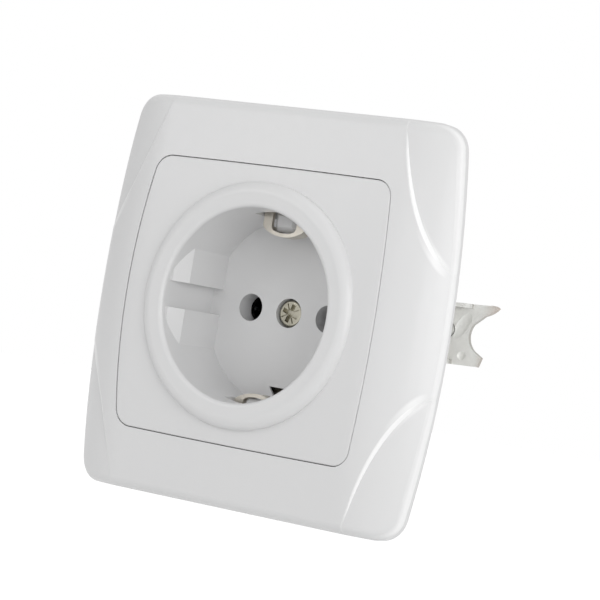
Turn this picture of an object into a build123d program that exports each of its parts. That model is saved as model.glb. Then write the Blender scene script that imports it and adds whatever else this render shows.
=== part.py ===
from build123d import *

import math
import os

# A flush-mounted earthed wall socket in millimetres. The origin is on the cup's axis in the plane
# of the wall. +Z is up, -Y points out of the wall into the room, and +X is right from the room.

os.makedirs("parts", exist_ok=True)

# Decor frame
FRAME_HALF_WIDTH = 38.66
FRAME_BOW = 3.45
FRAME_HALF_HEIGHT = 41.13
FRAME_CORNER_R = 5.7
FRAME_DEPTH = 9.5
FRAME_WALL = 2.2
SIDE_HEIGHT = 1.6
FACE_BLEND_X = 27.0
CROWN_R = 263.0
RIM_R = 2.4
RIB_T = 1.2
RIB_AT = 14.0
RIB_FOOT_GAP = 2.0

# Shallow step in each corner of the frame, cut along a wide arc
STEP_DEPTH = 1.0
STEP_ARC_X = 181.0
STEP_ARC_Z = 82.1
STEP_ARC_R = 159.0
STEP_ARC_DEPTH = 8.0
STEP_TAPER = 0.5
STEP_ROUND = 0.7

# Cover plate, collar and cup
PLATE_HALF_WIDTH = 28.0
PLATE_BOW = 2.0
PLATE_HALF_HEIGHT = 28.2
PLATE_TOP_BOW = 0.18
PLATE_CORNER_R = 3.7
PLATE_T = 2.2
PLATE_GAP = 0.15
PLATE_EDGE_R = 0.35
LEDGE_IN = 1.6
LEDGE_T = 1.3
SEAT_GAP = 0.1
SKIRT_T = 1.2
COLLAR_PROUD = 1.36
COLLAR_R = 25.0
COLLAR_CREST_R = 22.2
RIM_ROUND = 0.9
COLLAR_SHOULDER = 0.75
COLLAR_SHOULDER_DROP = 0.42
COLLAR_FOOT = 0.2
CUP_RIM_R = 19.68
CUP_FLOOR_R = 19.54
CUP_DEPTH = 17.5
CUP_WALL = 1.5
FLOOR_T = 2.0

# Guide lugs in the cup
LUG_FLAT_X = 16.95
LUG_HALF_GAP = 2.7
LUG_HALF_SPAN = 10.2
LUG_BEVEL_LENGTH = 3.2
LUG_BEVEL_DEPTH = 2.0
LUG_FRONT_DROP = 1.7

# Pin holes, screw well and window in the floor
PIN_SPACING = 19.0
PIN_HOLE_R = 2.85
PIN_BOSS_R = 3.95
WELL_R = 3.05
WELL_BOSS_R = 4.1
BOSS_DEPTH = 4.5
WINDOW_HALF_TOP = 1.8
WINDOW_HALF_LOW = 0.4
WINDOW_TOP = 15.45
WINDOW_LOW = 17.4
WINDOW_LIP = 0.6
WINDOW_RELIEF = 1.6

# Centre screw
CENTRE_HEAD_R = 2.8
CENTRE_HEAD_H = 1.8
CENTRE_HEAD_DROP = 0.6
CENTRE_SHANK_R = 1.5
CENTRE_SHANK_L = 8.8
CROSS_TURN = 20.0
CROSS_LENGTH = 3.9
CROSS_WIDTH = 0.95
CROSS_DEPTH = 1.1
TICK_TURN = 45.0
TICK_LENGTH = 4.4
TICK_WIDTH = 0.3
TICK_DEPTH = 0.3

# Earth bow and its two clips
CLIP_HALF_WIDTH = 5.1
CLIP_LEG_WIDTH = 2.1
CLIP_T = 0.8
CLIP_BAR_T = 0.75
CLIP_BAR_LENGTH = 3.4
CLIP_BOW_R = 8.5
CLIP_CORNER_R = 1.2
CLIP_Y = 0.0
BOW_REACH = 21.7
TOP_CLIP_DROP = 6.75
LOW_CLIP_DROP = 4.4
BOW_NECK_HALF = 2.5
BOW_NECK_SPAN = 11.5
POCKET_CLEAR = 0.5
POCKET_WALL = 1.2
POCKET_FRONT = 3.4
POST_CLEAR = 0.15
POST_BEVEL = 1.1
POST_BEVEL_SHARE = 0.35
POST_GAP = 0.35
POST_CORNER_R = 1.2
POCKET_IN = 15.2
POST_FRONT = -0.2

# Support strap
STRAP_MARGIN = 0.96
STRAP_R = 9.0
STRAP_T = 1.0
STRAP_HOLE_GAP = 0.7
BOX_SPACING = 60.0
BOX_SLOT_R = 2.0
BOX_SLOT_LENGTH = 7.0
CORNER_HOLE_AT = 27.5
CORNER_HOLE_R = 1.6
LEG_ANGLE = 40.0
LEG_WIDTH = 8.0
LEG_GAP = 0.9
FOOT_LENGTH = 5.2
FOOT_SINK = 0.66

# Ceramic base
BASE_HALF = 20.4
BASE_R = 6.0
BASE_DEPTH = 24.4
BASE_EDGE = 0.8
GROOVE_DEPTH = 3.36
BASE_CLEAR = 0.3
SHANK_FIT = 0.05
PLATE_FIT = 0.1
RING_FIT = 0.02

# Contacts and terminals
TULIP_IN_R = 2.45
TULIP_T = 0.65
TULIP_LENGTH = 14.8
TULIP_SLIT = 0.8
TULIP_ROOT = 4.0
TULIP_GAP = 0.4
TAIL_WIDTH = 6.0
TAIL_T = 1.0
RING_T = 0.55
RING_LENGTH = 1.5
RING_DROP = 2.0
TERMINAL_X = 11.3
TERMINAL_Z = -12.8
TERMINAL_HALF = 3.4
TERMINAL_SPAN = 4.2
WIRE_GAP = 2.6
CLAMP_T = 1.2
PLATE_ROUND = 0.8
TERMINAL_HEAD_R = 3.0
TERMINAL_HEAD_H = 2.2
TERMINAL_SHANK_R = 1.9
TERMINAL_SHANK_L = 8.6
SLOT_WIDTH = 1.0
SLOT_DEPTH = 1.1
EARTH_FROM_END = 5.5
EARTH_HEAD_H = 1.2
SADDLE_T = 1.0
SADDLE_HALF = 4.0

# Rivets
RIVET_R = 1.6
RIVET_HEAD_R = 2.4
RIVET_HEAD_H = 0.55
RIVET_AT_R = 19.6
BOW_RIVET_FROM_END = 6.7

# Claws and their screws
CLAW_X = 24.7
CLAW_Z = 2.2
CLAW_Y = 29.25
CLAW_T = 1.0
CLAW_IN = 18.0
CLAW_TOP = 6.1
CLAW_TOP_SLOPE = 0.6
CLAW_LOW = 7.2
CLAW_LOW_SLOPE = 0.4
CLAW_CORNER_CUT = 2.0
HORN_CREST_X = 9.1
HORN_TIP_X = 11.2
HORN_TIP_DROP = 0.3
HORN_UNDER_X = 8.3
HORN_UNDER_Z = 3.8
HORN_SWELL = 0.25
HORN_ROOT_X = 5.9
HORN_ROOT_Z = 1.7
HOLLOW_X = 5.3
HOLLOW_Z = -0.9
BARB_ROOT_X = 7.1
BARB_ROOT_Z = -3.8
BARB_X = 8.9
BARB_Z = -4.8
CLAW_FOOT_X = 8.3
CLAW_LIP = 1.3
CLAW_LIP_T = 0.9
TOP_LIP_END = 5.3
LOW_LIP_END = 2.3
CREASE_X = 3.5
CREASE_Z = 1.2
CREASE_ANGLE = -60.0
CREASE_SWEEP_R = 10.0
CREASE_R = 2.6
CREASE_DEPTH = 0.4
DIMPLE_X = 4.3
DIMPLE_Z = -5.0
DIMPLE_R = 1.3
DIMPLE_DEPTH = 0.4
CLAW_BOSS_R = 3.0
CLAW_BOSS_H = 1.7
CLAW_SCREW_R = 1.75
CLAW_SCREW_FIT = 0.06
CLAW_SCREW_END = 34.0
CLAW_HEAD_R = 2.7
CLAW_HEAD_H = 2.0
CLAW_HEAD_GAP = 0.5
CLAW_HEAD_ROOM = 0.8
CLAW_HOLE_R = 2.1
CLAW_DRAW = 10.0
CLAW_SWING = 8.5
RAMP_GAP = 0.4
RAMP_CLEAR = 0.9

# Places that follow from the sizes above
FRONT_Y = -FRAME_DEPTH
CREST_Y = FRONT_Y - COLLAR_PROUD
FLOOR_Y = CREST_Y + CUP_DEPTH
BASE_Y = FLOOR_Y + FLOOR_T
BASE_BACK = BASE_Y + BASE_DEPTH
CUP_OUT_R = CUP_RIM_R + CUP_WALL
BOSS_END = FLOOR_Y + BOSS_DEPTH
GROOVE_Y = BASE_Y + GROOVE_DEPTH
BOW_Y = GROOVE_Y - CLIP_T
PIN_X = PIN_SPACING / 2
TOP_CREST = BOW_REACH - TOP_CLIP_DROP
LOW_CREST = BOW_REACH - LOW_CLIP_DROP
EARTH_Z = BOW_REACH - EARTH_FROM_END
BOW_RIVET_Z = BOW_RIVET_FROM_END - BOW_REACH
STRAP_HALF = min(FRAME_HALF_WIDTH, FRAME_HALF_HEIGHT) - FRAME_WALL - STRAP_MARGIN
TULIP_R = TULIP_IN_R + TULIP_T
TULIP_FRONT = BOSS_END + TULIP_GAP
TULIP_BACK = TULIP_FRONT + TULIP_LENGTH
TAIL_BACK = TULIP_BACK + TAIL_T
POCKET_HALF = CLIP_HALF_WIDTH + POCKET_CLEAR
POCKET_OUT = BOW_REACH + POCKET_CLEAR
HOUSING_HALF = POCKET_HALF + POCKET_WALL
HOUSING_OUT = POCKET_OUT + POCKET_WALL
FAR = 60.0

SIDE_RUN = FRAME_HALF_WIDTH + FRAME_BOW - FACE_BLEND_X
SIDE_DROP = FRAME_DEPTH - SIDE_HEIGHT
SIDE_R = (SIDE_RUN ** 2 + SIDE_DROP ** 2) / (2 * SIDE_DROP)
CROWN_DROP = FRAME_HALF_HEIGHT ** 2 / (2 * CROWN_R)
LOW_SIDE_DROP = SIDE_DROP - STEP_DEPTH
LOW_SIDE_R = (SIDE_RUN ** 2 + LOW_SIDE_DROP ** 2) / (2 * LOW_SIDE_DROP)
LOW_CROWN_R = FRAME_HALF_HEIGHT ** 2 / (2 * (CROWN_DROP - STEP_DEPTH))


def facing(depth):
    """Plane parallel to the wall, drawn as seen from the room."""
    return Plane(origin=(0, depth, 0), x_dir=(1, 0, 0), z_dir=(0, -1, 0))


def slab(sketch, front, back):
    """Solid with the sketch's outline between two depths."""
    return extrude(facing(back) * sketch, back - front)


def rod(x, z, radius, front, back):
    """Round bar along the socket's axis."""
    return slab(Pos(x, z) * Circle(radius), front, back)


def block(x0, x1, y0, y1, z0, z1):
    """Rectangular space between three pairs of limits."""
    size = Box(x1 - x0, y1 - y0, z1 - z0)
    return Pos((x0 + x1) / 2, (y0 + y1) / 2, (z0 + z1) / 2) * size


def half_turn(shape):
    """The same piece on the other side of the cup's axis."""
    return shape.rotate(Axis.Y, 180)


def outline(inset, half_width, bow, half_height, corner_r, top_bow):
    """Nearly square outline with bowed sides, drawn in by an inset."""
    x = half_width - inset
    z = half_height - inset
    top = ThreePointArc((x, z), (0, z + top_bow), (-x, z)) if top_bow else Line((x, z), (-x, z))
    right = ThreePointArc((x, -z), (x + bow, 0), (x, z))
    sides = [right, top, right.rotate(Axis.Z, 180), top.rotate(Axis.Z, 180)]
    face = make_face(sides)
    return fillet(face.vertices(), max(corner_r - inset, 0.6))


def frame_outline(inset):
    return outline(inset, FRAME_HALF_WIDTH, FRAME_BOW, FRAME_HALF_HEIGHT, FRAME_CORNER_R, 0)


def plate_outline(inset):
    return outline(inset, PLATE_HALF_WIDTH, PLATE_BOW, PLATE_HALF_HEIGHT, PLATE_CORNER_R, PLATE_TOP_BOW)


def plate_ring(outer_inset, inner_inset):
    return plate_outline(outer_inset) - plate_outline(inner_inset)


def crown(front, side_r, crown_r):
    """Everything behind the crowned face: flat across the middle, falling away at both sides."""
    reach = math.asin(min((SIDE_RUN + FRAME_WALL) / side_r, 0.98))
    end_x = FACE_BLEND_X + side_r * math.sin(reach)
    end_y = front + side_r * (1 - math.cos(reach))
    mid_x = FACE_BLEND_X + side_r * math.sin(reach / 2)
    mid_y = front + side_r * (1 - math.cos(reach / 2))
    behind = end_y + FRAME_DEPTH
    edges = [
        Line((-FACE_BLEND_X, front), (FACE_BLEND_X, front)),
        ThreePointArc((FACE_BLEND_X, front), (mid_x, mid_y), (end_x, end_y)),
        Polyline((end_x, end_y), (end_x, behind), (-end_x, behind), (-end_x, end_y)),
        ThreePointArc((-end_x, end_y), (-mid_x, mid_y), (-FACE_BLEND_X, front)),
    ]
    axis = Axis((0, front + crown_r, 0), (1, 0, 0))
    half_angle = math.degrees(1.2 * FRAME_HALF_HEIGHT / crown_r)
    return revolve(make_face(edges).rotate(axis, -half_angle), axis, 2 * half_angle)


def face_crown(drop):
    """The crown of the face, lowered square to itself by a wall."""
    return crown(FRONT_Y + drop, SIDE_R - drop, CROWN_R - drop)


def rounded_shell(crowned):
    """Crowned block cut to the frame's outline, with its front edge rounded."""
    body = crowned & slab(frame_outline(0), FRONT_Y - RIM_R, 0)
    back_edges = body.edges().filter_by(lambda e: abs(e.center().Y) < 0.01)
    walls = body.faces().filter_by(lambda f: abs(f.normal_at(f.center()).Y) < 0.01)
    rim = [e for wall in walls for e in wall.edges() if e not in back_edges]
    front_rim = [e for e in rim if abs(e.tangent_at(0.5).Y) < 0.5]
    return fillet(front_rim, RIM_R)


def step_cutter(side, up):
    """Slightly tapered round cutter that leaves the arc in one corner of the frame."""
    front = FRONT_Y - 2
    front_r = STEP_ARC_R - STEP_TAPER * (front + STEP_ARC_DEPTH)
    back_r = STEP_ARC_R - STEP_TAPER * STEP_ARC_DEPTH
    base = Plane(origin=(side * STEP_ARC_X, 0, up * STEP_ARC_Z), x_dir=(1, 0, 0), z_dir=(0, -1, 0))
    align = (Align.CENTER, Align.CENTER, Align.MIN)
    return base * Cone(back_r, front_r, -front, align=align)


def step_edges(body):
    """The sharp edges that the four cutters leave along the front of the face."""
    found = []
    for edge in body.edges():
        middle = edge.position_at(0.5)
        reach = math.hypot(STEP_ARC_X - abs(middle.X), STEP_ARC_Z - abs(middle.Z))
        on_cone = abs(reach - STEP_ARC_R + STEP_TAPER * (middle.Y + STEP_ARC_DEPTH)) < 0.01
        along = abs(edge.tangent_at(0.5).Z) > 0.3
        if on_cone and along and middle.Y < -RIM_R:
            found.append(edge)
    return found


def make_frame():
    high = rounded_shell(face_crown(0))
    for side in (-1, 1):
        for up in (-1, 1):
            high -= step_cutter(side, up)
    high = fillet(step_edges(high), STEP_ROUND)
    low = rounded_shell(crown(FRONT_Y + STEP_DEPTH, LOW_SIDE_R, LOW_CROWN_R))
    cavity = face_crown(FRAME_WALL) & slab(frame_outline(FRAME_WALL), FRONT_Y, 1)
    body = high + low - cavity
    body -= slab(plate_outline(-PLATE_GAP), -FAR, FAR)
    ledge_top = PLATE_T + SEAT_GAP
    ledge_back = ledge_top + LEDGE_T
    ledge_out = -PLATE_GAP - LEDGE_T
    body += crowned_ring(ledge_top, ledge_back, ledge_out, LEDGE_IN)
    body += crowned_ring(FRAME_WALL / 2, ledge_back, ledge_out, -PLATE_GAP)
    skirt = slab(plate_ring(LEDGE_IN - SKIRT_T, LEDGE_IN), FRONT_Y, -STRAP_T)
    body += skirt & face_crown(ledge_top)
    ribs = cavity & slab(rib_strips(), FRONT_Y, -STRAP_T - RIB_FOOT_GAP)
    return body + (ribs - slab(plate_outline(LEDGE_IN - SKIRT_T / 2), -FAR, FAR))


def crowned_ring(top, bottom, outer_inset, inner_inset):
    """Ring about the cover plate that follows the crown of the face between two depths below it."""
    layer = face_crown(top) - face_crown(bottom)
    return layer & slab(plate_ring(outer_inset, inner_inset), FRONT_Y, 0)


def rib_strips():
    """Thin strips that brace the frame's border, two to a side."""
    strips = Sketch()
    length = 2 * FRAME_HALF_WIDTH + 4 * FRAME_BOW
    for at in (-RIB_AT, RIB_AT):
        strips += Pos(at, 0) * Rectangle(RIB_T, length)
        strips += Pos(0, at) * Rectangle(length, RIB_T)
    return strips


def cup_profile():
    """Half section of collar, cup wall and floor, turned about the socket's axis."""
    base = FRONT_Y + PLATE_T
    round_y = CREST_Y + RIM_ROUND
    round_x = CUP_RIM_R + RIM_ROUND
    dip = RIM_ROUND * (1 - math.sqrt(0.5))
    shoulder_y = FRONT_Y + COLLAR_FOOT
    edges = [
        Polyline((0, FLOOR_Y), (CUP_FLOOR_R, FLOOR_Y), (CUP_RIM_R, round_y)),
        ThreePointArc((CUP_RIM_R, round_y), (CUP_RIM_R + dip, CREST_Y + dip), (round_x, CREST_Y)),
        Line((round_x, CREST_Y), (COLLAR_CREST_R, CREST_Y)),
        ThreePointArc(
            (COLLAR_CREST_R, CREST_Y),
            (COLLAR_R - COLLAR_SHOULDER, CREST_Y + COLLAR_SHOULDER_DROP * COLLAR_PROUD),
            (COLLAR_R, shoulder_y),
        ),
        Polyline(
            (COLLAR_R, shoulder_y), (COLLAR_R, base), (CUP_OUT_R, base),
            (CUP_OUT_R, BASE_Y), (0, BASE_Y), (0, FLOOR_Y),
        ),
    ]
    return make_face(edges)


def lug_pair(side):
    """Two flat-faced guide lugs on one side of the cup, with a gap between them."""
    front = CREST_Y + LUG_FRONT_DROP
    flat = side * LUG_FLAT_X
    deep = side * (LUG_FLAT_X + LUG_BEVEL_DEPTH)
    wall = side * (CUP_RIM_R + CUP_WALL / 2)
    corners = [
        (flat, FLOOR_Y + FLOOR_T / 2), (flat, front + LUG_BEVEL_LENGTH), (deep, front),
        (wall, front), (wall, FLOOR_Y + FLOOR_T / 2),
    ]
    profile = make_face(Polyline(*corners, close=True))
    lug = Pos(0, 0, -LUG_HALF_SPAN) * extrude(profile, 2 * LUG_HALF_SPAN, dir=(0, 0, 1))
    lug &= rod(0, 0, CUP_RIM_R + CUP_WALL / 2, CREST_Y, BASE_Y)
    gap = block(-FAR, FAR, CREST_Y, FLOOR_Y, -LUG_HALF_GAP, LUG_HALF_GAP)
    return lug - gap


def pocket_housing(up):
    """Outside of the pocket that lets an earth clip into the cup."""
    front = CLIP_Y - POCKET_FRONT - POCKET_WALL
    z0, z1 = sorted((up * POCKET_IN, up * HOUSING_OUT))
    shell = block(-HOUSING_HALF, HOUSING_HALF, front, BASE_Y, z0, z1)
    return shell - rod(0, 0, CUP_RIM_R, front, BASE_Y)


def pocket_space(up):
    """Hollow of that pocket, open at the back for the bow."""
    front = CLIP_Y - POCKET_FRONT
    z0, z1 = sorted((up * POCKET_IN, up * POCKET_OUT))
    hollow = block(-POCKET_HALF, POCKET_HALF, front, FLOOR_Y, z0, z1)
    z0, z1 = sorted((up * (BOW_REACH - CLIP_T - POCKET_CLEAR), up * POCKET_OUT))
    return hollow + block(-POCKET_HALF, POCKET_HALF, FLOOR_Y - 1, BASE_Y + 1, z0, z1)


def pocket_post(up):
    """Bevelled post that stands in the clip's window."""
    crest = TOP_CREST if up > 0 else LOW_CREST
    inner = crest + CLIP_BAR_T + POST_GAP
    half = CLIP_HALF_WIDTH - CLIP_LEG_WIDTH - POST_CLEAR
    front = CLIP_Y + POST_FRONT
    z0, z1 = sorted((up * inner, up * (BOW_REACH - CLIP_T - POCKET_CLEAR)))
    post = block(-half, half, front, FLOOR_Y + 1, z0, z1)
    inner_corners = post.edges().filter_by(Axis.Y).filter_by(lambda e: abs(e.center().Z - up * inner) < 0.01)
    post = fillet(inner_corners, POST_CORNER_R)
    front_edges = post.edges().filter_by(lambda e: abs(e.center().Y - front) < 0.01)
    return chamfer(front_edges, min(POST_BEVEL, POST_BEVEL_SHARE * (z1 - z0)))


def window_sketch():
    """Small opening in the floor beside the lower clip, narrowing downwards."""
    corners = [
        (-WINDOW_HALF_TOP, -WINDOW_TOP), (WINDOW_HALF_TOP, -WINDOW_TOP),
        (WINDOW_HALF_LOW, -WINDOW_LOW), (-WINDOW_HALF_LOW, -WINDOW_LOW),
    ]
    return make_face(Polyline(*corners, close=True))


def make_cover():
    plate = face_crown(0) - face_crown(PLATE_T)
    body = plate & slab(plate_outline(0), FRONT_Y - 1, 0)
    front_rim = [
        e for e in body.edges()
        if e.center().Y < FRONT_Y + PLATE_T - PLATE_GAP and abs(e.tangent_at(0.5).Y) < 0.5
    ]
    body = fillet(front_rim, PLATE_EDGE_R)
    lip = plate_ring(LEDGE_IN + PLATE_GAP, LEDGE_IN + PLATE_GAP + SKIRT_T)
    lip_end = -STRAP_T - CLAW_HEAD_GAP - CLAW_HEAD_H - CLAW_HEAD_ROOM
    body += slab(lip, FRONT_Y, lip_end) & face_crown(PLATE_T / 2)
    body -= rod(0, 0, CUP_OUT_R, FRONT_Y - 2, 0)
    body += revolve(cup_profile(), Axis.Y)
    for up in (-1, 1):
        body += pocket_housing(up)
        body -= pocket_space(up)
        body += pocket_post(up)
    for side in (-1, 1):
        body += lug_pair(side)
        body += rod(side * PIN_X, 0, PIN_BOSS_R, BASE_Y - 1, BOSS_END)
        body -= rod(side * PIN_X, 0, PIN_HOLE_R, FLOOR_Y - 1, BOSS_END + 1)
    head_seat = FLOOR_Y + CENTRE_HEAD_DROP + CENTRE_HEAD_H
    body += rod(0, 0, WELL_BOSS_R, BASE_Y - 1, BOSS_END)
    body -= rod(0, 0, WELL_R, FLOOR_Y - 1, head_seat)
    body -= rod(0, 0, CENTRE_SHANK_R + BASE_CLEAR, FLOOR_Y, BOSS_END + 1)
    relief_half = WINDOW_HALF_TOP + WINDOW_RELIEF
    body -= block(
        -relief_half, relief_half, FLOOR_Y + WINDOW_LIP, BASE_Y + 1,
        -WINDOW_LOW - WINDOW_RELIEF, -WINDOW_TOP + WINDOW_RELIEF,
    )
    return body - slab(window_sketch(), FLOOR_Y - 1, BASE_Y + 1)


def screw(x, z, top, head_r, head_h, shank_r, shank_l):
    """Screw along the socket's axis with its head towards the room."""
    head = rod(x, z, head_r, top, top + head_h)
    front_edge = head.edges().filter_by(lambda e: abs(e.center().Y - top) < 0.01)
    head = fillet(front_edge, 0.3 * head_h)
    return head + rod(x, z, shank_r, top + head_h, top + head_h + shank_l)


def slotted(body, x, z, top, head_r):
    """The screw with one straight slot across its head."""
    cut = block(x - head_r, x + head_r, top, top + SLOT_DEPTH, z - SLOT_WIDTH / 2, z + SLOT_WIDTH / 2)
    return body - cut


def make_cover_screw():
    top = FLOOR_Y + CENTRE_HEAD_DROP
    body = screw(0, 0, top, CENTRE_HEAD_R, CENTRE_HEAD_H, CENTRE_SHANK_R, CENTRE_SHANK_L)
    for angle in (0, 90):
        bar = Box(CROSS_LENGTH, 2 * CROSS_DEPTH, CROSS_WIDTH)
        tick = Box(TICK_LENGTH, 2 * TICK_DEPTH, TICK_WIDTH)
        body -= Pos(0, top, 0) * Rot(0, CROSS_TURN + angle, 0) * bar
        body -= Pos(0, top, 0) * Rot(0, CROSS_TURN + angle + TICK_TURN, 0) * tick
    return body


def clip_face(crest, inset):
    """Face of an earth clip: straight legs, round corners and a bowed foot, drawn in by an inset."""
    half = CLIP_HALF_WIDTH - inset
    foot = crest + (CLIP_BAR_T if inset else 0)
    top = BOW_REACH - (CLIP_T if inset else 0)
    bow = Pos(0, foot + CLIP_BOW_R) * Circle(CLIP_BOW_R)
    above = Pos(0, foot + 2 * CLIP_BOW_R) * Rectangle(4 * CLIP_BOW_R, 2 * CLIP_BOW_R)
    face = Pos(0, (foot + top) / 2) * Rectangle(2 * half, top - foot)
    face &= bow + above
    low_corners = face.vertices().filter_by(lambda v: v.Y < top - 0.01)
    return fillet(low_corners, CLIP_CORNER_R)


def clip(crest, up):
    """Folded end of the earth bow: two legs joined by a bowed bar that points at the axis."""
    ring = clip_face(crest, 0) - clip_face(crest, CLIP_LEG_WIDTH)
    front = CLIP_Y - CLIP_T / 2
    body = slab(ring, front, front + CLIP_T)
    centre = crest + CLIP_BOW_R
    band = Pos(0, centre) * Circle(CLIP_BOW_R) - Pos(0, centre) * Circle(CLIP_BOW_R - CLIP_BAR_T)
    low = Pos(0, crest + CLIP_BOW_R / 8) * Rectangle(2 * CLIP_HALF_WIDTH, CLIP_BOW_R / 4)
    body += slab(band & clip_face(crest, 0) & low, front, front + CLIP_BAR_LENGTH)
    body += block(
        -CLIP_HALF_WIDTH, CLIP_HALF_WIDTH, front, GROOVE_Y, BOW_REACH - CLIP_T, BOW_REACH
    )
    return body if up > 0 else half_turn(body)


def bow_sketch():
    """Strip across the base: a narrow neck between two wide ends."""
    wide = Rectangle(2 * CLIP_HALF_WIDTH, 2 * BOW_REACH)
    cut_x = (CLIP_HALF_WIDTH + BOW_NECK_HALF) / 2
    cut = Rectangle(CLIP_HALF_WIDTH - BOW_NECK_HALF, 2 * BOW_NECK_SPAN)
    strip = wide - Pos(cut_x, 0) * cut - Pos(-cut_x, 0) * cut
    strip -= Circle(CENTRE_SHANK_R + SHANK_FIT)
    strip -= Pos(0, EARTH_Z) * Circle(TERMINAL_SHANK_R + SHANK_FIT)
    return strip - Pos(0, BOW_RIVET_Z) * Circle(RIVET_R + SHANK_FIT)


def make_earth_bow():
    body = slab(bow_sketch(), BOW_Y, GROOVE_Y)
    return body + clip(TOP_CREST, 1) + clip(LOW_CREST, -1)


def make_strap():
    plate = RectangleRounded(2 * STRAP_HALF, 2 * STRAP_HALF, STRAP_R)
    plate -= Circle(CUP_OUT_R + STRAP_HOLE_GAP)
    notch_half = HOUSING_HALF + STRAP_HOLE_GAP
    plate -= Rectangle(2 * notch_half, 2 * (HOUSING_OUT + STRAP_HOLE_GAP))
    for side in (-1, 1):
        slot = Rot(0, 0, 90) * SlotOverall(BOX_SLOT_LENGTH, 2 * BOX_SLOT_R)
        plate -= Pos(0, side * BOX_SPACING / 2) * slot
        plate -= Pos(side * CLAW_X, side * CLAW_Z) * Circle(CLAW_HOLE_R)
        for up in (-1, 1):
            plate -= Pos(side * CORNER_HOLE_AT, up * CORNER_HOLE_AT) * Circle(CORNER_HOLE_R)
    body = slab(plate, -STRAP_T, 0)
    return body + strap_leg() + half_turn(strap_leg())


def strap_leg():
    """Bent leg that runs back along the cup and turns in under its floor."""
    inner = CUP_OUT_R + LEG_GAP
    foot_y = BASE_Y + FOOT_SINK
    half = LEG_WIDTH / 2
    leg = block(inner, inner + STRAP_T, -STRAP_T / 2, foot_y + STRAP_T, -half, half)
    foot = block(inner - FOOT_LENGTH, inner + STRAP_T, foot_y, foot_y + STRAP_T, -half, half)
    foot -= rod(RIVET_AT_R, 0, RIVET_R + SHANK_FIT, foot_y - 1, foot_y + 2)
    return (leg + foot).rotate(Axis.Y, -LEG_ANGLE)


def rivet_place():
    angle = math.radians(LEG_ANGLE)
    return RIVET_AT_R * math.cos(angle), RIVET_AT_R * math.sin(angle)


def rivet(x, z, front):
    """Rivet through the base, headed at both ends."""
    body = rod(x, z, RIVET_HEAD_R, front, front + RIVET_HEAD_H)
    body += rod(x, z, RIVET_R, front, BASE_BACK + RIVET_HEAD_H)
    return body + rod(x, z, RIVET_HEAD_R, BASE_BACK, BASE_BACK + RIVET_HEAD_H)


def follower(draw):
    """Inner front edge of the right claw, seen from above, when drawn forward by this much."""
    swing = math.radians(CLAW_SWING) * draw / CLAW_DRAW
    along = CLAW_Y + STRAP_T / 2 - draw
    arm = CLAW_X - CLAW_IN
    x = CLAW_X + along * math.sin(swing) - arm * math.cos(swing)
    y = -STRAP_T / 2 + along * math.cos(swing) + arm * math.sin(swing)
    return x - RAMP_GAP, y


def claw_ramp():
    """Space beside the base for a claw, whose sloping floor pushes the claw outwards."""
    low_x, low_y = follower(0)
    high_x, high_y = follower(CLAW_DRAW)
    slope = (low_x - high_x) / (low_y - high_y)
    end_x = low_x + slope * (BASE_BACK + 1 - low_y)
    start_y = low_y + (BASE_HALF + 1 - low_x) / slope
    corners = [(end_x, BASE_BACK + 1), (BASE_HALF + 1, start_y), (BASE_HALF + 1, BASE_BACK + 1)]
    profile = make_face(Polyline(*corners, close=True))
    low, high = claw_span()
    return Pos(0, 0, low - RAMP_CLEAR) * extrude(profile, high - low + 2 * RAMP_CLEAR, dir=(0, 0, 1))


def make_base():
    body = slab(RectangleRounded(2 * BASE_HALF, 2 * BASE_HALF, BASE_R), BASE_Y, BASE_BACK)
    ends = body.faces().filter_by(Axis.Y)
    body = chamfer(ends.edges(), BASE_EDGE)
    body -= block(-POCKET_HALF, POCKET_HALF, BASE_Y - 1, GROOVE_Y, -FAR, FAR)
    body -= rod(0, 0, WELL_BOSS_R + BASE_CLEAR, BASE_Y - 1, GROOVE_Y)
    body -= rod(0, 0, CENTRE_SHANK_R + BASE_CLEAR, BASE_Y, GROOVE_Y + CENTRE_SHANK_L)
    body -= rod(0, EARTH_Z, TERMINAL_SHANK_R + BASE_CLEAR, BASE_Y, GROOVE_Y + TERMINAL_SHANK_L)
    body -= rod(0, BOW_RIVET_Z, RIVET_R + SHANK_FIT, BASE_Y, BASE_BACK + 1)
    space = contact_space()
    body -= space + half_turn(space)
    body -= claw_ramp() + half_turn(claw_ramp())
    return body


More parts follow.
